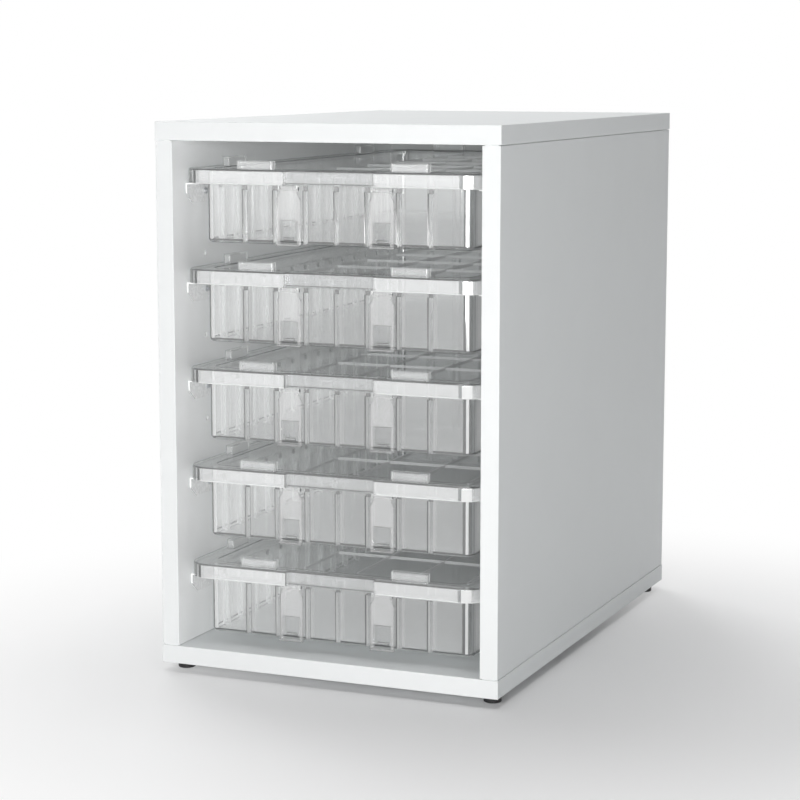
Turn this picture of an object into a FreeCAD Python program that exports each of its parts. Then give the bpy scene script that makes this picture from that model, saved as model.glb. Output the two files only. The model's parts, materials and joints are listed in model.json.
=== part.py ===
"""Classroom tray storage unit: a white carcass on four glides, with five clear lidded trays on runners.

Millimetres, +Z up. The origin is on the floor under the middle of the unit, and the open front faces -Y.
Tray 1 is the top one.
"""
import FreeCAD, Part
import os

V = FreeCAD.Vector

# --- driving dimensions -------------------------------------------------------------------------
# carcass
unit_width = 355.0
unit_depth = 541.5
carcass_height = 533.8
board = 18.0
side_inset = 0.5          # the side panels stand back this much from the ends of the top and bottom
edging = 1.0              # plastic lipping on the front edges
edging_radius = 0.7
arris_radius = 0.8        # on the long side edges of the top and bottom
joint_gap = 0.7           # fine shadow gap along every joint of the boards
joint_gap_depth = 2.5
back_thickness = 5.0
back_recess = 1.5         # from the rear edges of the boards to the back panel
groove_depth = 6.0
groove_play = 0.1
dowel_radius = 4.0
dowel_length = 30.0
dowel_in_panel = 12.0
dowel_play = 0.05
dowels_per_joint = 5
dowel_end_inset = 40.0
dowel_end_play = 1.0      # glue room beyond each end of a dowel
back_reach = 5.5          # of the back panel into its grooves

# glides
foot_height = 9.0
foot_radius = 8.6
foot_inset_x = 14.1
foot_inset_y = 24.1
foot_edge_radius = 1.2
foot_screw_radius = 1.9
foot_screw_head_radius = 3.6
foot_screw_head_height = 2.4
foot_screw_recess = 2.5
foot_screw_length = 19.0
foot_screw_tip = 2.0      # length of the point
foot_screw_point = 0.4
foot_screw_slot = 2.0     # half length of the cross recess
foot_screw_slot_depth = 1.4
foot_screw_play = 0.1
foot_head_play = 0.3

# runners and their screws
tiers = 5
tier_pitch = 97.05
ledge_top = 482.9         # top of the highest pair of ledges
ledge_width = 13.0
ledge_thickness = 1.2
web_thickness = 1.2
web_height = 20.0
runner_front = -243.4
runner_length = 495.0
runner_chamfer = 10.0     # at the lower front corner of the web: height, and length
runner_chamfer_length = 12.0
runner_screw_y = 205.75   # front and rear screws, each side of the middle
runner_screw_drop = 9.2   # below the top of the ledge
screw_radius = 2.5
screw_head_radius = 3.1
screw_head_height = 1.5
screw_length = 13.0
screw_play = 0.05
screw_slot = 1.6          # half length of the cross recess
screw_slot_depth = 1.0
cross_half_width = 0.35   # of the cross recess in every screw
spare_hole_heights = [411.9, 330.3, 246.7]
spare_hole_depth = 11.0

# trays
centre_y = 0.95           # middle of tray and lid, front to back
wall = 2.0
tray_width = 280.0
tray_length = 483.4
tray_corner = 10.0
tray_bottom = 425.6       # underside of the top tray
tray_wall_top = 495.4
tray_bottom_radius = 4.0
rim_play = 0.1            # between rim and ledge
rim_thickness = 2.0
slot_pitch = 32.3         # divider slots: narrow pleats, open outward, in all four walls
end_slots = 7             # on the front and on the rear wall
side_slots = 14
slot_width = 5.0
slot_depth = 5.7
slot_wall = 1.6
slot_top = 5.5            # each pleat is solid for this much under the rim
catch_width = 12.0
catch_height = 3.0
catch_bottom = 430.0
catch_depth = 2.4
comb_width = 31.0         # small comb that stands on the rim behind the middle of the lid's skirt
comb_thickness = 4.0
comb_tooth = 2.2
comb_top = 493.0
comb_bar = 1.6
comb_gap = 2.0            # clear of the back of the skirt
comb_end = 2.0            # from the end of the bar to its outer teeth

# lids
lid_width = 312.0
lid_length = 523.4
lid_corner = 23.0
skirt_bottom = 483.5
lid_top = 498.0
lid_edge_radius = 2.2
skirt_thickness = 2.0
rim_clearance = 0.5       # between skirt and tray rim
notch_half_width = 46.1   # the middle of the front stands back, as a finger grip
notch_depth = 5.0
notch_lift = 1.4
lug_height = 8.0
lug_thickness = 8.3
lug_length = 38.5
lug_corner = 2.2
lug_wall = 1.4
lug_edge_radius = 0.6
end_lug_x = 80.05
end_lug_y = 250.15
side_lug_x = 147.75
side_lug_y = 161.8
field_width = 270.0       # the middle of the top is sunk a little
field_length = 487.0
field_corner = 15.0
field_sink = 0.8
rib_depth = 2.6
rib_thickness = 2.0
long_rib_x = [-129.5, -41.4, 15.6, 74.5, 129.7]
cross_rib_y = [-149.0, -74.5, 0.0, 74.5, 149.0]
rib_field = 228.0         # half length of the ribbed field

# drop straps on the front of each tray
strap_x = 48.5
strap_width = 25.0
strap_neck = 16.7
strap_thickness = 2.0
strap_bottom = 424.8
strap_axis_y = -243.75
strap_axis_z = 479.5
strap_barrel_radius = 2.2
shoulder_start = 2.8      # below the hinge axis
shoulder_end = 9.5
window_width = 18.0
window_bottom = 427.2
window_top = 449.4
lip_depth = 1.4
lip_height = 2.0
trunnion_radius = 1.0
trunnion_length = 1.8
trunnion_play = 0.06
ear_thickness = 2.0
ear_gap = 0.3
ear_half_width = 2.4

overshoot = 1.0           # of a cutting block past the face that it cuts
tiny = 0.001              # for telling whether an edge lies at a place

# --- worked out ---------------------------------------------------------------------------------
half_width = unit_width / 2
half_depth = unit_depth / 2
panel_top = foot_height + board
inner_top = foot_height + carcass_height - board
side_outer = half_width - side_inset
side_inner = side_outer - board
back_front = half_depth - back_recess - back_thickness
dowel_x = side_inner + board / 2
tray_front = centre_y - tray_length / 2
lid_front = centre_y - lid_length / 2
rim_bottom = ledge_top + rim_play


def box(x0, x1, y0, y1, z0, z1):
    return Part.makeBox(x1 - x0, y1 - y0, z1 - z0, V(x0, y0, z0))


def cylinder(radius, length, start, direction):
    return Part.makeCylinder(radius, length, start, direction)


def join(shapes):
    """One solid from touching or overlapping shapes."""
    return shapes[0].multiFuse(shapes[1:]).removeSplitter()


def cut(shape, tools):
    return shape.cut(Part.makeCompound(tools))


def outline(points, arcs):
    """A closed wire through the points; the corners named in arcs are rounded with that radius."""
    count = len(points)
    ends = []
    for i, corner in enumerate(points):
        before = (points[i - 1] - corner).normalize()
        after = (points[(i + 1) % count] - corner).normalize()
        radius = arcs.get(i, 0)
        bisector = (before + after).normalize()
        middle = corner + bisector * radius * (2 ** 0.5 - 1)
        ends.append((corner + before * radius, middle, corner + after * radius))
    edges = []
    for i, (start, middle, end) in enumerate(ends):
        if arcs.get(i, 0):
            edges.append(Part.Arc(start, middle, end).toShape())
        edges.append(Part.LineSegment(end, ends[(i + 1) % count][0]).toShape())
    return Part.Wire(edges)


def prism(wire, height):
    return Part.Face(wire).extrude(V(0, 0, height))


def rounded_block(width, length, z0, z1, corner, middle_x=0.0, middle_y=0.0):
    x = width / 2
    y = length / 2
    points = [V(middle_x + sx * x, middle_y + sy * y, z0) for sx, sy in ((-1, -1), (1, -1), (1, 1), (-1, 1))]
    return prism(outline(points, dict.fromkeys(range(4), corner)), z1 - z0)


def lid_shaped(inset, z0, z1):
    """A slab with the lid's plan, drawn in by inset: round corners, and a notch in the front."""
    x = lid_width / 2 - inset
    y0 = lid_front + inset
    y1 = lid_front + lid_length - inset
    notch_x = notch_half_width + inset
    notch_y = y0 + notch_depth
    points = [V(-x, y0, z0), V(-notch_x, y0, z0), V(-notch_x, notch_y, z0), V(notch_x, notch_y, z0),
              V(notch_x, y0, z0), V(x, y0, z0), V(x, y1, z0), V(-x, y1, z0)]
    return prism(outline(points, dict.fromkeys((0, 5, 6, 7), lid_corner - inset)), z1 - z0)


def fillet_level(shape, z, radius):
    """Round every edge that lies wholly at height z."""
    edges = [e for e in shape.Edges if abs(e.BoundBox.ZMin - z) < tiny and abs(e.BoundBox.ZMax - z) < tiny]
    return shape.makeFillet(radius, edges)


# --- carcass ------------------------------------------------------------------------------------
def dowel_ys():
    first = -half_depth + dowel_end_inset
    step = (unit_depth - 2 * dowel_end_inset) / (dowels_per_joint - 1)
    return [first + step * i for i in range(dowels_per_joint)]


def foot_centres():
    x = half_width - foot_inset_x
    y = half_depth - foot_inset_y
    return {"front_left": (-x, -y), "front_right": (x, -y), "rear_left": (-x, y), "rear_right": (x, y)}


def dowels(radius, spare):
    """All the dowels, or with some spare their holes."""
    pieces = []
    for side in (-1, 1):
        for y in dowel_ys():
            for joint_z, inward in ((panel_top, 1), (inner_top, -1)):
                start = joint_z - inward * (dowel_in_panel + spare)
                length = dowel_length + 2 * spare
                pieces.append(cylinder(radius, length, V(side * dowel_x, y, start), V(0, 0, inward)))
    return pieces


def back_groove():
    """The slot that the back panel stands in, right round the carcass."""
    return box(-side_inner - groove_depth, side_inner + groove_depth,
               back_front - groove_play, back_front + back_thickness + groove_play,
               panel_top - groove_depth, inner_top + groove_depth)


def horizontal_panel(z0):
    """The top or the bottom, with its long side edges rounded."""
    panel = box(-half_width, half_width, -half_depth + edging, half_depth, z0, z0 + board)
    sides = [edge for edge in panel.Edges if edge.BoundBox.YLength > board]
    panel = panel.makeFillet(arris_radius, sides)
    return cut(panel, dowels(dowel_radius, dowel_end_play) + [back_groove()])


def bottom_panel():
    depth = foot_screw_length - (foot_height - foot_screw_recess) + overshoot
    holes = [cylinder(foot_screw_radius + screw_play, depth, V(x, y, foot_height), V(0, 0, 1))
             for x, y in foot_centres().values()]
    return cut(horizontal_panel(foot_height), holes)


def screw_heights():
    return [ledge_top - runner_screw_drop - tier_pitch * i for i in range(tiers)]


def shadow_gaps(side):
    """Shallow rebates along the four edges where a side panel meets the top and the bottom."""
    low = (panel_top - overshoot, panel_top + joint_gap)
    high = (inner_top - joint_gap, inner_top + overshoot)
    gaps = []
    for face, into in ((side_inner, 1), (side_outer, -1)):
        x0, x1 = sorted((side * (face - into * overshoot), side * (face + into * joint_gap_depth)))
        gaps += [box(x0, x1, -half_depth, half_depth + overshoot, z0, z1) for z0, z1 in (low, high)]
    return gaps


def side_panel(side):
    x0, x1 = sorted((side * side_inner, side * side_outer))
    panel = box(x0, x1, -half_depth + edging, half_depth, panel_top, inner_top)
    face = side * side_inner
    outward = V(side, 0, 0)
    holes = []
    for y in (-runner_screw_y, runner_screw_y):
        for z in screw_heights():
            holes.append(cylinder(screw_radius + screw_play, screw_length, V(face, y, z), outward))
        for z in spare_hole_heights:
            holes.append(cylinder(screw_radius, spare_hole_depth, V(face, y, z), outward))
    return cut(panel, holes + shadow_gaps(side) + dowels(dowel_radius, dowel_end_play) + [back_groove()])


def back_panel():
    return box(-side_inner - back_reach, side_inner + back_reach, back_front, back_front + back_thickness,
               panel_top - back_reach, inner_top + back_reach)


def edging_strip(x0, x1, z0, z1):
    """Front lipping: the two long front edges are rounded."""
    strip = box(x0, x1, -half_depth, -half_depth + edging, z0, z1)
    upright = z1 - z0 > x1 - x0
    edges = []
    for edge in strip.Edges:
        long_enough = edge.Length > 2 * board
        at_front = edge.BoundBox.YMax < -half_depth + tiny
        vertical = edge.BoundBox.ZLength > board
        if long_enough and at_front and vertical == upright:
            edges.append(edge)
    return strip.makeFillet(edging_radius, edges)


def foot(x, y):
    body = cylinder(foot_radius, foot_height, V(x, y, 0), V(0, 0, 1))
    body = fillet_level(body, 0, foot_edge_radius)
    shank_hole = foot_screw_radius + foot_screw_play
    bore = cylinder(shank_hole, foot_height, V(x, y, 0), V(0, 0, 1))
    pocket = cylinder(foot_screw_head_radius + foot_head_play, foot_screw_recess, V(x, y, 0), V(0, 0, 1))
    seat = Part.makeCone(foot_screw_head_radius + foot_screw_play, shank_hole, foot_screw_head_height,
                         V(x, y, foot_screw_recess), V(0, 0, 1))
    return cut(body, [bore, pocket, seat])


def cross(point, along, across, reach, half_width, depth):
    """The two blocks of a cross recess, sunk into a screw's head by depth."""
    u = V(*along)
    v = V(*across)
    inward = u.cross(v)
    blocks = []
    for long_way, short_way in ((u, v), (v, u)):
        a = point - long_way * reach - short_way * half_width
        b = point + long_way * reach + short_way * half_width + inward * depth
        lows = [min(p, q) for p, q in zip(a, b)]
        highs = [max(p, q) for p, q in zip(a, b)]
        blocks.append(box(lows[0], highs[0], lows[1], highs[1], lows[2], highs[2]))
    return blocks


def foot_screw(x, y):
    """Countersunk screw with a cross recess, driven up through the glide."""
    seat = V(x, y, foot_screw_recess)
    up = V(0, 0, 1)
    straight = foot_screw_length - foot_screw_tip
    head = Part.makeCone(foot_screw_head_radius, foot_screw_radius, foot_screw_head_height, seat, up)
    shank = cylinder(foot_screw_radius, straight, seat, up)
    tip = Part.makeCone(foot_screw_radius, foot_screw_point, foot_screw_tip, seat + up * straight, up)
    recess = cross(seat, (1, 0, 0), (0, 1, 0), foot_screw_slot, cross_half_width, foot_screw_slot_depth)
    return cut(join([head, shank, tip]), recess)


# --- runners ------------------------------------------------------------------------------------
def runner(side, top):
    """A ledge for the tray's rim on a web that is screwed to the side panel."""
    web_inner = side_inner - web_thickness
    x0, x1 = sorted((side * (side_inner - ledge_width), side * side_inner))
    rear = runner_front + runner_length
    ledge = box(x0, x1, runner_front, rear, top - ledge_thickness, top)
    x0, x1 = sorted((side * web_inner, side * side_inner))
    web = box(x0, x1, runner_front, rear, top - web_height, top)
    foot_z = top - web_height
    corner = [V(x0, runner_front, foot_z), V(x0, runner_front + runner_chamfer_length, foot_z),
              V(x0, runner_front, foot_z + runner_chamfer)]
    chamfer = Part.Face(Part.makePolygon(corner + corner[:1])).extrude(V(web_thickness, 0, 0))
    screw_z = top - runner_screw_drop
    outward = V(side, 0, 0)
    holes = [cylinder(screw_radius + screw_play, web_thickness, V(side * web_inner, y, screw_z), outward)
             for y in (-runner_screw_y, runner_screw_y)]
    return cut(join([ledge, web]), [chamfer] + holes)


def runner_screws(side):
    """Pan-head screws, two for each runner, with a cross recess in the head."""
    screws = []
    face = side_inner - web_thickness
    for z in screw_heights():
        for y in (-runner_screw_y, runner_screw_y):
            head = cylinder(screw_head_radius, screw_head_height, V(side * (face - screw_head_height), y, z),
                            V(side, 0, 0))
            shank = cylinder(screw_radius, screw_length, V(side * face, y, z), V(side, 0, 0))
            screw = join([head, shank])
            top = V(side * (face - screw_head_height), y, z)
            screws.append(cut(screw, cross(top, (0, side, 0), (0, 0, 1), screw_slot, cross_half_width,
                                           screw_slot_depth)))
    return screws


# --- tray, for the top tier ---------------------------------------------------------------------
def spread(count):
    """Distances from the middle for count slots at the slot pitch."""
    return [(i - (count - 1) / 2) * slot_pitch for i in range(count)]


def slot_places():
    """Middle of each divider slot on the four walls, and the direction out of the wall."""
    ends = [(x, centre_y + side * tray_length / 2, 0, side) for x in spread(end_slots) for side in (-1, 1)]
    sides = [(side * tray_width / 2, centre_y + y, side, 0) for y in spread(side_slots) for side in (-1, 1)]
    return ends + sides


def slot_block(place, half, outer, inner, z0, z1):
    """A block on a wall: from outer mm outside the wall's face to inner mm inside it."""
    x, y, out_x, out_y = place
    if out_x:
        x0, x1 = sorted((x + out_x * outer, x - out_x * inner))
        return box(x0, x1, y - half, y + half, z0, z1)
    y0, y1 = sorted((y + out_y * outer, y - out_y * inner))
    return box(x - half, x + half, y0, y1, z0, z1)


def strap_ears():
    """Hinge ears under the rim: each has a blind bore for a trunnion of the strap."""
    ears = []
    for middle in (-strap_x, strap_x):
        for side in (-1, 1):
            near = strap_neck / 2 + ear_gap
            x0, x1 = sorted((middle + side * near, middle + side * (near + ear_thickness)))
            plate = box(x0, x1, strap_axis_y - ear_half_width, strap_axis_y + ear_half_width,
                        strap_axis_z, rim_bottom)
            end = cylinder(ear_half_width, ear_thickness, V(x0, strap_axis_y, strap_axis_z), V(1, 0, 0))
            bore = cylinder(trunnion_radius + trunnion_play, ear_thickness,
                            V(x0, strap_axis_y, strap_axis_z), V(1, 0, 0))
            ears.append(join([plate, end]).cut(bore))
    return ears


def comb():
    """Bar on three teeth, on the rim behind the grip."""
    front = lid_front + notch_depth + skirt_thickness + comb_gap
    back = front + comb_thickness
    rim_top = rim_bottom + rim_thickness
    pieces = [box(-comb_width / 2, comb_width / 2, front, back, comb_top - comb_bar, comb_top)]
    for i in (-1, 0, 1):
        x = i * (comb_width / 2 - comb_tooth / 2 - comb_end)
        pieces.append(box(x - comb_tooth / 2, x + comb_tooth / 2, front, back, rim_top, comb_top - comb_bar))
    return pieces


def tray():
    shell = rounded_block(tray_width, tray_length, tray_bottom, tray_wall_top, tray_corner, 0, centre_y)
    shell = fillet_level(shell, tray_bottom, tray_bottom_radius)
    rim = lid_shaped(skirt_thickness + rim_clearance, rim_bottom, rim_bottom + rim_thickness)
    hollow = rounded_block(tray_width - 2 * wall, tray_length - 2 * wall, tray_bottom + wall,
                           tray_wall_top + overshoot, tray_corner - wall, 0, centre_y)
    hollow = fillet_level(hollow, tray_bottom + wall, tray_bottom_radius / 2)
    body = join([shell, rim]).cut(hollow)
    ribs = []
    slots = []
    half = slot_width / 2
    reach = slot_depth + slot_wall
    groove_top = rim_bottom - slot_top
    for place in slot_places():
        ribs.append(slot_block(place, half + slot_wall, -wall / 2, reach, tray_bottom + wall / 2,
                               tray_wall_top - wall))
        slots.append(slot_block(place, half, overshoot, slot_depth, tray_bottom - overshoot, groove_top))
    catches = []
    for x in (-strap_x, strap_x):
        catches.append(box(x - catch_width / 2, x + catch_width / 2, tray_front - catch_depth,
                           tray_front + wall / 2, catch_bottom, catch_bottom + catch_height))
    body = join([body] + ribs + comb() + catches + strap_ears())
    return cut(body, slots)


# --- lid, for the top tier ----------------------------------------------------------------------
def lug(x, y, along_x):
    width, length = (lug_length, lug_thickness) if along_x else (lug_thickness, lug_length)
    outside = rounded_block(width, length, lid_top - skirt_thickness, lid_top + lug_height, lug_corner, x, y)
    outside = fillet_level(outside, lid_top + lug_height, lug_edge_radius)
    inside = rounded_block(width - 2 * lug_wall, length - 2 * lug_wall, lid_top - skirt_thickness,
                           lid_top + lug_height - lug_wall, lug_corner - lug_wall, x, y)
    return outside, inside


def lid():
    slab = fillet_level(lid_shaped(0, skirt_bottom, lid_top), lid_top, lid_edge_radius)
    ceiling = lid_top - skirt_thickness
    hollow = lid_shaped(skirt_thickness, skirt_bottom, ceiling)
    notch = box(-notch_half_width, notch_half_width, lid_front, lid_front + notch_depth + skirt_thickness,
                skirt_bottom, skirt_bottom + notch_lift)
    field = rounded_block(field_width, field_length, lid_top - field_sink, lid_top, field_corner, 0, centre_y)
    body = cut(slab, [hollow, notch, field])
    lugs = []
    pockets = []
    for sx in (-1, 1):
        for sy in (-1, 1):
            for x, y, along_x in ((end_lug_x, end_lug_y, True), (side_lug_x, side_lug_y, False)):
                outside, inside = lug(sx * x, centre_y + sy * y, along_x)
                lugs.append(outside)
                pockets.append(inside)
    half = rib_thickness / 2
    ribs = [box(x - half, x + half, centre_y - rib_field, centre_y + rib_field, ceiling - rib_depth, ceiling)
            for x in long_rib_x]
    ribs += [box(long_rib_x[1], long_rib_x[-1], centre_y + y - half, centre_y + y + half,
                 ceiling - rib_depth, ceiling) for y in cross_rib_y]
    return cut(join([body] + lugs + ribs), pockets)


# --- drop strap, for the top tier ---------------------------------------------------------------
def strap(middle):
    """A flat strap with a window: it hangs from two trunnions and swings out and up."""
    half = strap_width / 2
    neck = strap_neck / 2
    y0 = strap_axis_y - strap_thickness / 2
    y1 = strap_axis_y + strap_thickness / 2
    shoulder_top = strap_axis_z - shoulder_start
    shoulder_foot = strap_axis_z - shoulder_end
    points = [(-neck, strap_axis_z), (-neck, shoulder_top), (-half, shoulder_foot), (-half, strap_bottom),
              (half, strap_bottom), (half, shoulder_foot), (neck, shoulder_top), (neck, strap_axis_z)]
    corners = [V(middle + x, y0, z) for x, z in points]
    plate = Part.Face(Part.makePolygon(corners + corners[:1])).extrude(V(0, strap_thickness, 0))
    window = box(middle - window_width / 2, middle + window_width / 2, y0, y1, window_bottom, window_top)
    along = V(1, 0, 0)
    reach = ear_gap + trunnion_length
    axis_start = V(middle - neck, strap_axis_y, strap_axis_z)
    barrel = cylinder(strap_barrel_radius, strap_neck, axis_start, along)
    pin = cylinder(trunnion_radius, strap_neck + 2 * reach, axis_start - along * reach, along)
    lip = box(middle - half, middle + half, y0 - lip_depth, y1, strap_bottom, strap_bottom + lip_height)
    return join([plate.cut(window), barrel, pin, lip])


# --- files --------------------------------------------------------------------------------------
def save(name, shape):
    shape.exportStep("parts/" + name + ".step")


def save_tier(name, shape, tier):
    moved = shape.copy()
    moved.translate(V(0, 0, -tier_pitch * tier))
    save(name + "_" + str(tier + 1), moved)


def main():
    os.makedirs("parts", exist_ok=True)
    save("top_panel", horizontal_panel(inner_top))
    save("bottom_panel", bottom_panel())
    save("side_panel_left", side_panel(-1))
    save("side_panel_right", side_panel(1))
    save("back_panel", back_panel())
    save("carcass_dowels", Part.makeCompound(dowels(dowel_radius - dowel_play, 0)))
    save("edging_top", edging_strip(-half_width, half_width, inner_top, inner_top + board))
    save("edging_bottom", edging_strip(-half_width, half_width, foot_height, panel_top))
    save("edging_left", edging_strip(-side_outer, -side_inner, panel_top + joint_gap, inner_top - joint_gap))
    save("edging_right", edging_strip(side_inner, side_outer, panel_top + joint_gap, inner_top - joint_gap))
    for name, (x, y) in foot_centres().items():
        save("foot_" + name, foot(x, y))
    save("foot_screws", Part.makeCompound([foot_screw(x, y) for x, y in foot_centres().values()]))
    save("runner_screws_left", Part.makeCompound(runner_screws(-1)))
    save("runner_screws_right", Part.makeCompound(runner_screws(1)))
    shapes = {"runner_left": runner(-1, ledge_top), "runner_right": runner(1, ledge_top),
              "tray": tray(), "lid": lid(), "strap_left": strap(-strap_x), "strap_right": strap(strap_x)}
    for name, shape in shapes.items():
        for tier in range(tiers):
            save_tier(name, shape, tier)


main()
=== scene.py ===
import bpy, bmesh, json
from math import atan2, degrees, pi, radians
from mathutils import Matrix, Vector


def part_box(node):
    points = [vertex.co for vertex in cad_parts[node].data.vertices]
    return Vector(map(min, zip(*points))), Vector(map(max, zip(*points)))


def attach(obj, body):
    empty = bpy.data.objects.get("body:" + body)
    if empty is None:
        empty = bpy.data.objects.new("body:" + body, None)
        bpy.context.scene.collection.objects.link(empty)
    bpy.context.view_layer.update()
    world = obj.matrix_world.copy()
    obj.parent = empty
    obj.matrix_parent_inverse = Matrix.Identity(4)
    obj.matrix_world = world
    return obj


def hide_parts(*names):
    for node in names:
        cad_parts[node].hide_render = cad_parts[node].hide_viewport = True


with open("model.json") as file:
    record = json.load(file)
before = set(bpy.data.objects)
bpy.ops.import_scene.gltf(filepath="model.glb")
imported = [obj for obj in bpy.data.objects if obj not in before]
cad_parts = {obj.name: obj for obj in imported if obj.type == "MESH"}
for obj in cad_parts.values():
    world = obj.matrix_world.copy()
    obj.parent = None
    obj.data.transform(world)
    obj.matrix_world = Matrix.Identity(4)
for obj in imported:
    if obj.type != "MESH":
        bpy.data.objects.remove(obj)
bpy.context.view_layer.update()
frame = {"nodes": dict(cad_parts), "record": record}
nodes = frame["nodes"]

# --- camera, as the photograph was taken ---------------------------------------------------------
CAMERA_PLACE = (0.8920, -2.2022, 0.5997)
CAMERA_DOWN = 0.1481      # below the horizon, in radians
CAMERA_TURN = 0.3987      # to the left of +Y, in radians
CAMERA_LENS = 102.13      # in mm
SENSOR_WIDTH = 36.0       # in mm
FAR_ENOUGH = 50.0


def add_camera():
    data = bpy.data.cameras.new("camera")
    data.sensor_width = SENSOR_WIDTH
    data.lens = CAMERA_LENS
    data.clip_end = FAR_ENOUGH
    camera = bpy.data.objects.new("camera", data)
    camera.location = CAMERA_PLACE
    camera.rotation_euler = (pi / 2 - CAMERA_DOWN, 0.0, CAMERA_TURN)
    bpy.context.collection.objects.link(camera)
    bpy.context.scene.camera = camera


# --- materials: how they are made ----------------------------------------------------------------
NOISE_DARK = 0.3             # noise seldom goes below this, or above NOISE_LIGHT
NOISE_LIGHT = 0.7


def new_material(name):
    material = bpy.data.materials.new(name)
    material.use_nodes = True
    tree = material.node_tree
    shader = tree.nodes["Principled BSDF"]
    return material, tree, shader


def link_math(tree, operation, first, second):
    """The output of a Math node on two sockets or numbers."""
    node = tree.nodes.new("ShaderNodeMath")
    node.operation = operation
    for socket, value in zip(node.inputs, (first, second)):
        if isinstance(value, float):
            socket.default_value = value
        else:
            tree.links.new(value, socket)
    return node.outputs[0]


def between(tree, factor, low, high):
    """A number that runs from low to high as noise goes from dark to light."""
    node = tree.nodes.new("ShaderNodeMapRange")
    node.inputs["From Min"].default_value = NOISE_DARK
    node.inputs["From Max"].default_value = NOISE_LIGHT
    node.inputs["To Min"].default_value = low
    node.inputs["To Max"].default_value = high
    tree.links.new(factor, node.inputs["Value"])
    return node.outputs["Result"]


def noise(tree, size, stretch=(1.0, 1.0, 1.0), detail=3.0):
    """Noise in the piece's own space, with blotches of about size metres."""
    place = tree.nodes.new("ShaderNodeTexCoord")
    mapping = tree.nodes.new("ShaderNodeMapping")
    mapping.inputs["Scale"].default_value = [1.0 / (size * part) for part in stretch]
    texture = tree.nodes.new("ShaderNodeTexNoise")
    texture.inputs["Scale"].default_value = 1.0
    texture.inputs["Detail"].default_value = detail
    tree.links.new(place.outputs["Object"], mapping.inputs[0])
    tree.links.new(mapping.outputs[0], texture.inputs["Vector"])
    return texture.outputs["Fac"]


def colour_mix(tree, shader, factor):
    """A mix of two colours by factor, as the base colour; its two colour sockets are returned."""
    mix = tree.nodes.new("ShaderNodeMix")
    mix.data_type = "RGBA"
    result = [socket for socket in mix.outputs if socket.type == "RGBA"][0]
    tree.links.new(factor, mix.inputs["Factor"])
    tree.links.new(result, shader.inputs["Base Color"])
    return [socket for socket in mix.inputs if socket.type == "RGBA"]


def tint(tree, shader, factor, colour, vary):
    """The base colour, up to vary darker where the noise is dark."""
    dark, light = colour_mix(tree, shader, between(tree, factor, 0.0, 1.0))
    dark.default_value = (*[part * (1.0 - vary) for part in colour], 1.0)
    light.default_value = (*colour, 1.0)


def relief(tree, shader, factor, height):
    """A bump of this height in metres."""
    bump = tree.nodes.new("ShaderNodeBump")
    bump.inputs["Strength"].default_value = 1.0
    bump.inputs["Distance"].default_value = height
    tree.links.new(factor, bump.inputs["Height"])
    tree.links.new(bump.outputs[0], shader.inputs["Normal"])


def surface(name, colour, vary, blotch, roughness, grain, height, stretch=(1.0, 1.0, 1.0), metal=0.0):
    """An opaque finish: colour in blotches of one size, with roughness and relief in a finer grain."""
    material, tree, shader = new_material(name)
    shader.inputs["Metallic"].default_value = metal
    fine = noise(tree, grain, stretch)
    tint(tree, shader, noise(tree, blotch, stretch), colour, vary)
    tree.links.new(between(tree, fine, *roughness), shader.inputs["Roughness"])
    relief(tree, shader, fine, height)
    return material


def second_colour(material, factor, colour):
    """Another base colour where factor is 1."""
    tree = material.node_tree
    shader = tree.nodes["Principled BSDF"]
    first = shader.inputs["Base Color"].links[0].from_socket
    below, above = colour_mix(tree, shader, factor)
    tree.links.new(first, below)
    above.default_value = (*colour, 1.0)


def split_vector(tree, output):
    """X, Y and Z of a piece's own place (Object) or surface direction (Normal)."""
    place = tree.nodes.new("ShaderNodeTexCoord")
    split = tree.nodes.new("ShaderNodeSeparateXYZ")
    tree.links.new(place.outputs[output], split.inputs[0])
    return split.outputs


BOARD_MIDDLE_X = 0.168       # in the thickness of the side panels
BOARD_MIDDLE_Z = 0.534       # in the thickness of the top panel
CABINET_FLOOR = 0.0275


def board(name, outside, inside):
    """White-faced board, painted a shade whiter inside the unit: painted light, so that the inside is as
    light as in the photo.
    """
    material = surface(name, outside, vary=0.012, blotch=0.05, roughness=(0.5, 0.6), grain=0.0012,
                       height=0.00001)
    tree = material.node_tree
    # inside the unit the board's colour is whiter: painted light
    place = split_vector(tree, "Object")
    off_centre = link_math(tree, "ABSOLUTE", place["X"], 0.0)
    between_sides = link_math(tree, "LESS_THAN", off_centre, BOARD_MIDDLE_X)
    under_top = link_math(tree, "LESS_THAN", place["Z"], BOARD_MIDDLE_Z)
    over_floor = link_math(tree, "GREATER_THAN", place["Z"], CABINET_FLOOR)
    painted_light_mask = link_math(tree, "MULTIPLY", between_sides, under_top)
    painted_light_mask = link_math(tree, "MULTIPLY", painted_light_mask, over_floor)
    second_colour(material, painted_light_mask, inside)
    return material


LOOKS_DOWN = -0.3            # a face whose normal has less than this upward looks down


def runner_plastic(name, colour, painted_shade_underside):
    """White moulding with painted shade: darker on the faces that look down, as they are in the photo."""
    material = surface(name, colour, vary=0.02, blotch=0.02, roughness=(0.22, 0.32), grain=0.003,
                       height=0.00001)
    tree = material.node_tree
    # the faces that look down get a darker colour: painted shade
    painted_shade_mask = link_math(tree, "LESS_THAN", split_vector(tree, "Normal")["Z"], LOOKS_DOWN)
    second_colour(material, painted_shade_mask, painted_shade_underside)
    return material


def mix_shaders(tree, share, first, second, output="Material Output"):
    """The second shader takes this share of the first one's place, and the mix is the surface."""
    mix = tree.nodes.new("ShaderNodeMixShader")
    tree.links.new(share, mix.inputs[0])
    tree.links.new(first.outputs[0], mix.inputs[1])
    tree.links.new(second.outputs[0], mix.inputs[2])
    tree.links.new(mix.outputs[0], tree.nodes[output].inputs["Surface"])


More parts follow.
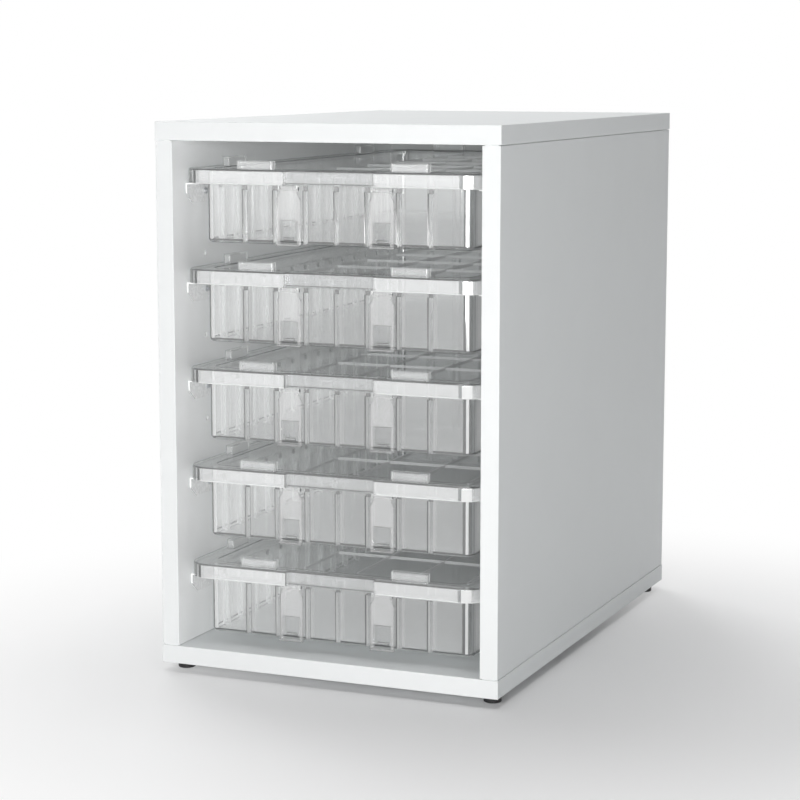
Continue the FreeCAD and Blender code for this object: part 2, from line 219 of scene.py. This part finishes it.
def over_view(tree, shader, share, film_colour=(1.0, 1.0, 1.0)):
    """The shader covers its share of the view straight through; lamps shine through all of it."""
    path = tree.nodes.new("ShaderNodeLightPath")
    lit = link_math(tree, "SUBTRACT", 1.0, path.outputs["Is Shadow Ray"])
    share = link_math(tree, "MULTIPLY", share, lit)
    film = tree.nodes.new("ShaderNodeBsdfTransparent")
    film.inputs["Color"].default_value = (*film_colour, 1.0)
    mix_shaders(tree, share, film, shader)


GLOSS_IOR = 1.8
PLASTIC_IOR = 1.46
COAT_ROUGHNESS = 0.03
CLEAR_ROUGHNESS = (0.06, 0.12)
RIM_ROUGHNESS = (0.05, 0.12)
CLEAR_VARY = 0.03            # how much darker the milk is where the flow marks are dark
RIM_VARY = 0.1
FLOW = 0.05                  # size of the faint flow marks of the moulding
FLOW_HEIGHT = 0.000004
GLANCE = 0.85                # a slanting face covers this much of the view, against what it reflects
LID_GLANCE = 0.4
TRAY_FILM = (0.985, 0.988, 0.988)     # what each skin of a tray lets through, and of a lid
LID_FILM = (0.98, 0.983, 0.983)


def polish(shader):
    """Both faces of a thin clear wall reflect, so its gloss is about double."""
    shader.inputs["IOR"].default_value = GLOSS_IOR
    shader.inputs["Specular IOR Level"].default_value = 1.0
    shader.inputs["Coat Weight"].default_value = 1.0
    shader.inputs["Coat IOR"].default_value = GLOSS_IOR
    shader.inputs["Coat Roughness"].default_value = COAT_ROUGHNESS


def clear(name, colour, milk_side, milk_top, glance=GLANCE, film_colour=(1.0, 1.0, 1.0)):
    """Clear moulded plastic: a milky share of each skin, more at a slant, over the view through it."""
    material, tree, shader = new_material(name)
    flow = noise(tree, FLOW)
    tint(tree, shader, flow, colour, CLEAR_VARY)
    tree.links.new(between(tree, flow, *CLEAR_ROUGHNESS), shader.inputs["Roughness"])
    relief(tree, shader, flow, FLOW_HEIGHT)
    polish(shader)
    level = link_math(tree, "ABSOLUTE", split_vector(tree, "Normal")["Z"], 0.0)
    milk = tree.nodes.new("ShaderNodeMapRange")
    milk.inputs["To Min"].default_value = milk_side
    milk.inputs["To Max"].default_value = milk_top
    tree.links.new(level, milk.inputs["Value"])
    fresnel = tree.nodes.new("ShaderNodeFresnel")
    fresnel.inputs["IOR"].default_value = PLASTIC_IOR
    slant = link_math(tree, "MULTIPLY", fresnel.outputs[0], glance)
    share = link_math(tree, "MAXIMUM", milk.outputs["Result"], slant)
    over_view(tree, shader, share, film_colour)
    return material


def painted_clear(name, colour, share, film_colour=(1.0, 1.0, 1.0)):
    """Clear plastic with a colour painted over the view through it: a dark one is painted shade where a
    rounded edge or a solid lump bends the view away, a light one a painted highlight.
    """
    material, tree, shader = new_material(name)
    flow = noise(tree, FLOW)
    tint(tree, shader, flow, colour, RIM_VARY)
    tree.links.new(between(tree, flow, *RIM_ROUGHNESS), shader.inputs["Roughness"])
    polish(shader)
    over_view(tree, shader, share, film_colour)
    return material


# --- materials: what the unit is made of ---------------------------------------------------------
WHITE = (0.84, 0.865, 0.87)
# painted light: the boards are whiter inside the unit than outside
WHITE_INSIDE_PAINTED_LIGHT = (0.96, 0.97, 0.97)
MATERIALS = {
    "white_board": board("white_board", WHITE, WHITE_INSIDE_PAINTED_LIGHT),
    # mid grey, much darker than the white boards, so the back of the inside is darker
    "back_board": surface("back_board", (0.55, 0.56, 0.56), vary=0.015, blotch=0.05,
                          roughness=(0.45, 0.55), grain=0.001, height=0.00001),
    "white_edging": surface("white_edging", (0.81, 0.825, 0.825), vary=0.012, blotch=0.03,
                            roughness=(0.45, 0.55), grain=0.0015, height=0.00001),
    "beech": surface("beech", (0.62, 0.42, 0.23), vary=0.35, blotch=0.002,
                     roughness=(0.5, 0.7), grain=0.0006, height=0.00004, stretch=(1, 1, 20)),
    "zinc_steel": surface("zinc_steel", (0.72, 0.73, 0.75), vary=0.12, blotch=0.004,
                          roughness=(0.22, 0.4), grain=0.0005, height=0.00001, metal=1.0),
    "black_plastic": surface("black_plastic", (0.012, 0.012, 0.013), vary=0.3, blotch=0.003,
                             roughness=(0.35, 0.5), grain=0.0004, height=0.00003),
    "white_plastic": runner_plastic("white_plastic", (0.96, 0.965, 0.965),
                                    painted_shade_underside=(0.5, 0.505, 0.505)),
    "clear_plastic": clear("clear_plastic", (0.9, 0.905, 0.905), milk_side=0.17, milk_top=0.1,
                           film_colour=TRAY_FILM),
    "clear_lid": clear("clear_lid", (0.93, 0.935, 0.935), milk_side=0.34, milk_top=0.2,
                       glance=LID_GLANCE, film_colour=LID_FILM),
    "frosted_plastic": clear("frosted_plastic", (0.72, 0.72, 0.72), milk_side=0.22, milk_top=0.22),
}
# painted light on clear plastic: dark painted shade on rounded edges and lumps, white painted highlights on
# corners
PAINTED_EDGE_SHADE = painted_clear("clear_edge_painted_shade", (0.06, 0.063, 0.063), share=0.8, film_colour=(0.4, 0.41, 0.41))
PAINTED_GLINT = painted_clear("clear_corner_painted_highlight", (0.82, 0.825, 0.825), share=0.8)
PAINTED_LUMP_SHADE = painted_clear("clear_lump_painted_shade", (0.03, 0.032, 0.032), share=0.85, film_colour=(0.3, 0.3, 0.3))
CLEAR_SIDE = clear("clear_side", (0.94, 0.945, 0.945), milk_side=0.07, milk_top=0.07)
HAZE = painted_clear("clear_haze", (0.55, 0.56, 0.56), share=0.3, film_colour=(0.9, 0.905, 0.905))
SHADE = painted_clear("clear_shade", (0.3, 0.31, 0.31), share=0.4, film_colour=(0.7, 0.71, 0.71))


def dress_nodes():
    """Every CAD node gets its material; the clear ones are replaced further on."""
    for node, slot in slots.items():
        mesh = nodes[node].data
        mesh.materials.clear()
        mesh.materials.append(MATERIALS[slot])


# --- moulded pieces ------------------------------------------------------------------------------
TIERS = 5
MERGE = 1e-6
FLAT = radians(1.0)          # faces closer than this to one plane become one face
SHARP = radians(28.0)        # edges that turn by more than this are rounded
STRAIGHT_ON = 0.85           # the cosine of the turn at which one edge carries on as the next
ROOM = 1.1                   # how long an edge has to be, as a share of the roundings that cut into it
SEGMENTS = 2                 # faces across each rounding
ROUND = 0.5                  # the shape of a rounding that is part of a circle
ROUNDED = 1                  # marks the rounded faces until every face has its material
TRAY_RADIUS = 0.0008         # of the roundings, in metres
LID_RADIUS = 0.0006
STRAP_RADIUS = 0.0003
# the line, lump and dim places are painted shade, the corner place a painted highlight
SKIN, PAINTED_SHADE_LINE, PAINTED_HIGHLIGHT, PAINTED_DARK_LUMP, THIN, DIM, PLAIN, HAZY = range(8)   # places of a moulded piece's materials

# sizes of the top tier's pieces, in metres
CENTRE_Y = 0.00095
TRAY_HALF_X = 0.140
TRAY_HALF_Y = 0.2417
TRAY_BOTTOM = 0.4256
TRAY_FILLET = 0.004
RIM_BOTTOM = 0.483
HINGE_FRONT = -0.2409         # the ears and the straps' tops are in front of this and above HINGE_BOTTOM
HINGE_BOTTOM = 0.4765
SKIRT_BOTTOM = 0.4835
LID_CEILING = 0.496
LID_TOP = 0.498
NOTCH_HALF = 0.0461
RIB_FIELD_X = 0.133
TRAY_CORNER_X = 0.130
TRAY_CORNER_DEPTH = 0.004
PLEAT_PITCH = 0.0323
PLEAT_HEAD = 0.4775          # each pleat is solid from here up to the rim
PLEATS_END = 7
PLEATS_SIDE = 14
LUMP_SIZE = (0.0042, 0.0012, 0.005)
LUMP_DEPTH = 0.0011
OUTER_EDGE = 0.0015          # a rounded edge of a tray is an outer one if it lies no deeper than this
UNDER_RIM = 0.001            # this much below RIM_BOTTOM an edge still belongs to the rim
OVER_TOP = 0.0003            # this much above LID_TOP a lug begins
RIB_DEPTH = 0.0005           # this much below LID_CEILING a rib begins
SKIRT_EDGE = 0.003           # up to this much above SKIRT_BOTTOM a rounding is the skirt's lower edge
NOTCH_SIDE = 0.001           # the shallow middle of the skirt ends this much outside the notch

# parts of a face's normal
UPRIGHT = 0.1                # less than this upward or downward: the face is upright
SIDEWAYS = 0.8               # more than this to the right or left: a pleat's side, or a long wall
LEVEL = 0.9                  # more than this upward or downward: a level face
FACING = 0.9                 # more than this to the front: a front face
CHAMFER = 0.25               # from this to LEVEL upward: the slope between a lid's top and its skirt
FLOOR_SIDE = -0.995          # from this to WALL_SIDE downward: the round between tray floor and wall
WALL_SIDE = -0.05
FILLET_LOW = -0.8            # the round's two ends are below and above these, its middle is plain
FILLET_HIGH = -0.4
TO_REAR = 0.3                # the round of the rear wall points this much to the rear, and stays plain


def wall_depth(place):
    """How far a point lies inside the tray's outer faces; less than zero outside them."""
    return min(TRAY_HALF_X - abs(place.x), TRAY_HALF_Y - abs(place.y - CENTRE_Y))


def corner_turn(normal):
    """How far an upright face is turned from the front, in degrees, to the right or to the left."""
    upright = normal.y < 0 and abs(normal.z) < UPRIGHT
    return degrees(atan2(normal.x, -normal.y)) if upright else 0.0


def band(turn, bands):
    """The material of the band of a rounded upright corner that this turn falls in, or None."""
    for start, end, material in bands:
        if start < turn < end:
            return material
    return None


# painted shade and painted highlight bands of the upright corners at the front: from one turn to the next,
# in degrees
TRAY_BANDS = ((2.0, 16.0, PAINTED_SHADE_LINE), (16.0, 32.0, PAINTED_HIGHLIGHT), (32.0, 72.0, DIM), (80.0, 90.0, PAINTED_HIGHLIGHT),
              (-32.0, -8.0, PAINTED_HIGHLIGHT), (-64.0, -32.0, PAINTED_SHADE_LINE))
LID_BANDS = ((2.0, 8.0, DIM), (8.0, 32.0, PAINTED_HIGHLIGHT), (-24.0, -16.0, PAINTED_SHADE_LINE), (-40.0, -32.0, PAINTED_SHADE_LINE),
             (-84.0, -40.0, THIN), (-32.0, -24.0, THIN))


def tray_finish(place, normal, rounded, inner):
    """The material of a tray's face, with painted shade lines and painted highlights on edges, pleats and
    corners; inner says that the faces beside a rounded one stand up from it.
    """
    depth = wall_depth(place)
    if place.y < HINGE_FRONT and place.z > HINGE_BOTTOM:
        return SKIN
    if rounded:
        under_grip = place.y < 0 and abs(place.x) < NOTCH_HALF
        if place.z > RIM_BOTTOM - UNDER_RIM and not under_grip:
            return SKIN
        if abs(place.x) > TRAY_CORNER_X and abs(place.y) < TRAY_HALF_Y - TRAY_CORNER_DEPTH:
            return PLAIN
        return PAINTED_SHADE_LINE if depth < OUTER_EDGE and not inner else SKIN
    corner = band(corner_turn(normal), TRAY_BANDS)
    if corner is not None and depth < TRAY_CORNER_DEPTH and abs(place.x) > TRAY_CORNER_X:
        return corner
    at_bottom = place.z < TRAY_BOTTOM + TRAY_FILLET
    in_fillet = at_bottom and FLOOR_SIDE < normal.z < WALL_SIDE and normal.y < TO_REAR
    if in_fillet and (normal.z > FILLET_HIGH or normal.z < FILLET_LOW):
        return PAINTED_SHADE_LINE
    if abs(normal.x) < SIDEWAYS:
        return SKIN
    in_pleat = abs(place.x) < TRAY_CORNER_X and place.z < PLEAT_HEAD
    return PAINTED_HIGHLIGHT if in_pleat else PLAIN


def lid_finish(place, normal, rounded, inner):
    """The material of a lid's face, with painted shade lines and painted highlights on its edges, ribs and
    corners.
    """
    if place.z > LID_TOP + OVER_TOP:
        return PAINTED_SHADE_LINE if rounded and not inner else THIN
    inside = place.z < LID_CEILING and abs(place.x) < RIB_FIELD_X and abs(place.y) < TRAY_HALF_Y
    if inside and (rounded or abs(normal.z) < LEVEL or place.z < LID_CEILING - RIB_DEPTH):
        return PAINTED_HIGHLIGHT
    middle = place.y < 0 and abs(place.x) < NOTCH_HALF + NOTCH_SIDE
    if rounded:
        if place.z < SKIRT_BOTTOM + SKIRT_EDGE:
            return PAINTED_SHADE_LINE if middle else PAINTED_HIGHLIGHT
        return SKIN if inner else PAINTED_SHADE_LINE
    if CHAMFER < normal.z < LEVEL:
        along_side = abs(normal.x) > abs(normal.y)
        return DIM if along_side else PAINTED_SHADE_LINE
    corner = band(corner_turn(normal), LID_BANDS)
    if corner is not None and abs(place.x) > RIB_FIELD_X:
        return corner
    return HAZY if middle and normal.y < -FACING else SKIN


def strap_finish(place, normal, rounded, inner):
    """The material of a strap's face, with painted shade lines on its lower rounded edges."""
    return PAINTED_SHADE_LINE if rounded and not inner and place.z < HINGE_BOTTOM else SKIN


def add_lumps(form):
    """The solid head of each pleat, in a dark colour: painted shade where the thick plastic bends the view
    away.
    """
    ends = [(i - (PLEATS_END - 1) / 2) * PLEAT_PITCH for i in range(PLEATS_END)]
    sides = [(i - (PLEATS_SIDE - 1) / 2) * PLEAT_PITCH for i in range(PLEATS_SIDE)]
    width, thickness, height = LUMP_SIZE
    z = PLEAT_HEAD + height / 2
    x_in = TRAY_HALF_X - LUMP_DEPTH
    y_in = TRAY_HALF_Y - LUMP_DEPTH
    places = [((x, CENTRE_Y + side * y_in, z), (width, thickness, height))
              for x in ends for side in (-1, 1)]
    places += [((side * x_in, CENTRE_Y + y, z), (thickness, width, height))
               for y in sides for side in (-1, 1)]
    for place, size in places:
        made = bmesh.ops.create_cube(form, size=1.0, matrix=Matrix.LocRotScale(place, None, size))
        for face in {face for vert in made["verts"] for face in vert.link_faces}:
            face.material_index = PAINTED_DARK_LUMP
            face.smooth = False


def across(edge, vert, chosen):
    """The chosen edges that turn off at this end of an edge, so that rounding them cuts it short."""
    along = (edge.other_vert(vert).co - vert.co).normalized()
    beside = [other for other in vert.link_edges if other in chosen and other is not edge]
    return [other for other in beside
            if abs((other.other_vert(vert).co - vert.co).normalized().dot(along)) < STRAIGHT_ON]


def with_room(form, sharp, radius):
    """The sharp edges whose rounding doesn't run over a short edge beside them."""
    chosen = set(sharp)
    crowded = set()
    for edge in form.edges:
        ends = [across(edge, vert, chosen) for vert in edge.verts]
        if edge.calc_length() < ROOM * radius * sum(1 for end in ends if end):
            crowded.update(ends[0] + ends[1])
    return [edge for edge in sharp if edge not in crowded]


def moulded_mesh(node, name, radius, finish, extra):
    """The node's solid in whole faces, outward edges rounded where there is room, dressed by finish."""
    form = bmesh.new()
    form.from_mesh(nodes[node].data)
    bmesh.ops.remove_doubles(form, verts=form.verts, dist=MERGE)
    bmesh.ops.dissolve_limit(form, angle_limit=FLAT, verts=form.verts, edges=form.edges)
    form.normal_update()
    sharp = [edge for edge in form.edges if edge.is_convex and edge.calc_face_angle() > SHARP]
    bmesh.ops.bevel(form, geom=with_room(form, sharp, radius), offset=radius, segments=SEGMENTS,
                    profile=ROUND, affect="EDGES", clamp_overlap=False, miter_outer="SHARP",
                    harden_normals=False, material=ROUNDED)
    form.normal_update()
    chosen = []
    for face in form.faces:
        middle = face.calc_center_median()
        rounded = face.material_index == ROUNDED
        beside = [other for edge in face.edges for other in edge.link_faces if not other.material_index]
        rise = sum((other.calc_center_median() - middle).normalized().dot(face.normal)
                   for other in beside)
        chosen.append(finish(middle, face.normal, rounded, rounded and rise > 0))
    for face, material_index in zip(form.faces, chosen):
        face.material_index = material_index
        face.smooth = True
    if extra:
        extra(form)
    mesh = bpy.data.meshes.new(name)
    form.to_mesh(mesh)
    form.free()
    mesh.set_sharp_from_angle(angle=SHARP)
    return mesh


def add_moulded(kind, radius, finish, extra=None):
    """One mesh for all five tiers: each piece hangs one pitch below the last."""
    top_node = kind + "_1"
    mesh = moulded_mesh(top_node, kind + "_moulded", radius, finish, extra)
    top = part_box(top_node)[0][2]
    slot = slots[top_node]
    # in the order of the places: skin, painted shade line, painted highlight, painted shade lump, thin,
    # dim, plain and hazy
    for material in (MATERIALS[slot], PAINTED_EDGE_SHADE, PAINTED_GLINT, PAINTED_LUMP_SHADE, MATERIALS["clear_plastic"], SHADE,
                     CLEAR_SIDE, HAZE):
        mesh.materials.append(material)
    for tier in range(1, TIERS + 1):
        node = kind + "_" + str(tier)
        piece = bpy.data.objects.new(kind + "_moulded_" + str(tier), mesh)
        bpy.context.collection.objects.link(piece)
        piece.location.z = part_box(node)[0][2] - top
        flat_faces = piece.modifiers.new("flat_faces", "WEIGHTED_NORMAL")
        flat_faces.mode = "FACE_AREA"
        flat_faces.keep_sharp = True
        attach(piece, node)
        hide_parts(node)


# --- floor and light -----------------------------------------------------------------------------
FLOOR_REACH = 8.0             # half the side of the floor
FLOOR_COLOUR = (0.95, 0.95, 0.955)
FLOOR_ROUGHNESS = 0.9
FADE_CENTRE = (0.15, -0.16, 0.0)   # under the unit's front right corner: the floor is greyest here
FADE_START = 0.1              # this far from FADE_CENTRE the floor starts to turn into white
FADE_END = 0.8                # and here it is as white as the backdrop
AMBIENT = 0.0                 # the world's light on the object: the lamps give all of it
LAMPS_AIM = (0.0, 0.0, 0.27)  # the middle of the unit
SURFACE_BOUNCES = 24
CLEAR_SKINS = 64              # as many clear faces as one ray may pass


def seen_directly(tree):
    """1 for a ray from the camera, a reflection or glass, and 0 for one that gathers soft light."""
    path = tree.nodes.new("ShaderNodeLightPath")
    total = path.outputs["Is Camera Ray"]
    for other in ("Is Glossy Ray", "Is Transmission Ray"):
        total = link_math(tree, "MAXIMUM", total, path.outputs[other])
    return total


def floor_material():
    """Matt pale floor: it fades to white away from the unit."""
    material, tree, shader = new_material("floor")
    shader.inputs["Base Color"].default_value = (*FLOOR_COLOUR, 1.0)
    shader.inputs["Roughness"].default_value = FLOOR_ROUGHNESS
    shader.inputs["Specular IOR Level"].default_value = 0.0
    place = tree.nodes.new("ShaderNodeTexCoord")
    length = tree.nodes.new("ShaderNodeVectorMath")
    length.operation = "DISTANCE"
    length.inputs[1].default_value = FADE_CENTRE
    tree.links.new(place.outputs["Object"], length.inputs[0])
    fade = tree.nodes.new("ShaderNodeMapRange")
    fade.interpolation_type = "SMOOTHSTEP"
    fade.inputs["From Min"].default_value = FADE_START
    fade.inputs["From Max"].default_value = FADE_END
    tree.links.new(length.outputs["Value"], fade.inputs["Value"])
    share = link_math(tree, "MULTIPLY", fade.outputs["Result"], seen_directly(tree))
    mix_shaders(tree, share, shader, tree.nodes.new("ShaderNodeEmission"))
    return material


def add_floor():
    mesh = bpy.data.meshes.new("floor")
    corners = [(x * FLOOR_REACH, y * FLOOR_REACH, 0.0) for x, y in ((-1, -1), (1, -1), (1, 1), (-1, 1))]
    mesh.from_pydata(corners, [], [(0, 1, 2, 3)])
    floor = bpy.data.objects.new("floor", mesh)
    bpy.context.collection.objects.link(floor)
    mesh.materials.append(floor_material())


def add_world():
    """White to the camera, glass and gloss; the object itself gets only AMBIENT light from it."""
    world = bpy.data.worlds.new("world")
    bpy.context.scene.world = world
    world.use_nodes = True
    tree = world.node_tree
    tree.nodes.remove(tree.nodes["Background"])
    backgrounds = []
    for strength in (AMBIENT, 1.0):
        background = tree.nodes.new("ShaderNodeBackground")
        background.inputs["Color"].default_value = (1.0, 1.0, 1.0, 1.0)
        background.inputs["Strength"].default_value = strength
        backgrounds.append(background)
    mix_shaders(tree, seen_directly(tree), *backgrounds, output="World Output")


def add_lamp(name, place, size, power):
    """A soft box that looks at the middle of the unit."""
    data = bpy.data.lights.new(name, "AREA")
    data.shape = "RECTANGLE"
    data.size, data.size_y = size
    data.energy = power
    lamp = bpy.data.objects.new(name, data)
    lamp.location = place
    aim = Vector(LAMPS_AIM) - lamp.location
    lamp.rotation_euler = aim.to_track_quat("-Z", "Y").to_euler()
    bpy.context.collection.objects.link(lamp)


def add_lamps():
    """Six soft boxes around the unit: where each one is, its size and its power in watts."""
    add_lamp("front_right", (3.0, -6.4, 1.5), (5.0, 3.2), 57.0)
    add_lamp("front_left", (-2.6, -6.2, 1.5), (4.0, 3.2), 28.0)
    add_lamp("near_right", (1.5, -1.9, 0.45), (0.8, 0.8), 5.0)
    add_lamp("front_low", (0.6, -2.4, 0.45), (0.9, 0.7), 28.0)
    add_lamp("top", (0.0, 0.0, 6.0), (4.0, 4.0), 150.0)
    add_lamp("rear_left", (-4.4, 4.4, 4.4), (4.0, 4.0), 195.0)


def set_bounces():
    """Enough bounces to see through the whole stack of clear trays."""
    cycles = bpy.context.scene.cycles
    cycles.max_bounces = SURFACE_BOUNCES
    cycles.transmission_bounces = SURFACE_BOUNCES
    cycles.transparent_max_bounces = CLEAR_SKINS


slots = {row["node"]: row["material_slot"] for row in frame["record"]["subparts"]}
dress_nodes()
add_moulded("tray", TRAY_RADIUS, tray_finish, add_lumps)
add_moulded("lid", LID_RADIUS, lid_finish)
add_moulded("strap_left", STRAP_RADIUS, strap_finish)
add_moulded("strap_right", STRAP_RADIUS, strap_finish)
add_floor()
add_world()
add_lamps()
set_bounces()
add_camera()
bpy.context.scene.view_settings.view_transform = "Standard"
